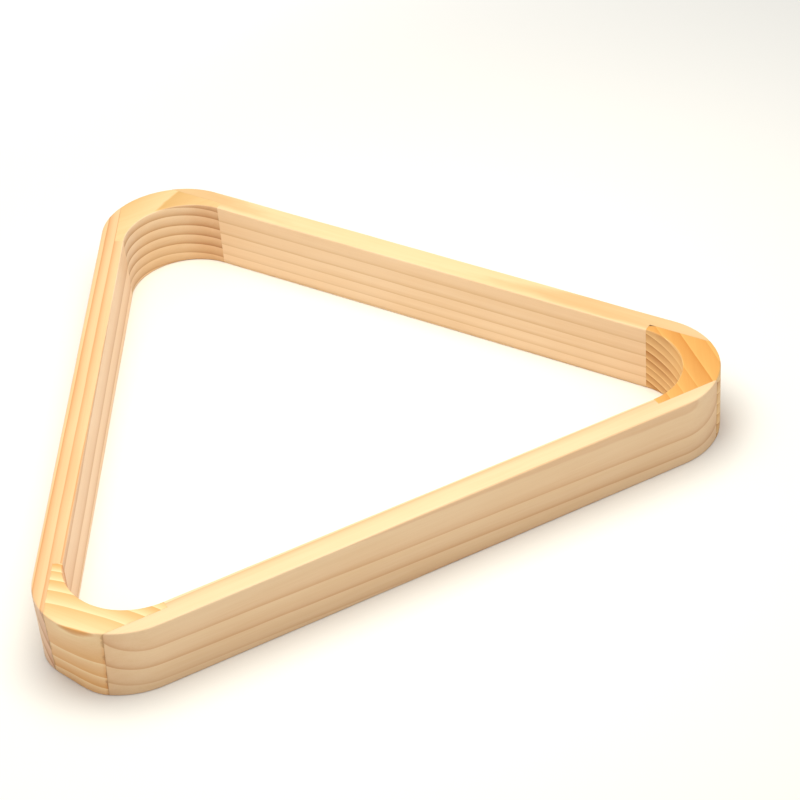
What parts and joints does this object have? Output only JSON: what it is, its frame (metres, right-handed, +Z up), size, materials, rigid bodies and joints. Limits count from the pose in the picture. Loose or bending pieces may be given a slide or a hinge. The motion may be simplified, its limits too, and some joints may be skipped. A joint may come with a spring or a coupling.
{
  "type": "triangle rack",
  "caption": "Wooden triangle rack for setting pool balls: softwood rails on edge, with corner blocks let into their ends and rounded corners.",
  "frame": {"origin": "middle of the bounding box in plan, on the surface the rack lies on", "axes": "+X along the base rail, +Y from the base rail towards the apex corner, +Z up through the opening"},
  "size_m": [0.3168, 0.2838, 0.0322],
  "materials": {
    "base_rail_wood": "satin",
    "right_rail_wood": "satin",
    "left_rail_wood": "satin",
    "apex_corner_block_wood": "satin",
    "left_corner_block_wood": "satin",
    "right_corner_block_wood": "satin"
  },
  "bodies": {
    "root": {"base_rail": "base_rail_wood", "right_rail": "right_rail_wood", "left_rail": "left_rail_wood", "apex_corner_block": "apex_corner_block_wood", "left_corner_block": "left_corner_block_wood", "right_corner_block": "right_corner_block_wood"}
  },
  "joints": []
}
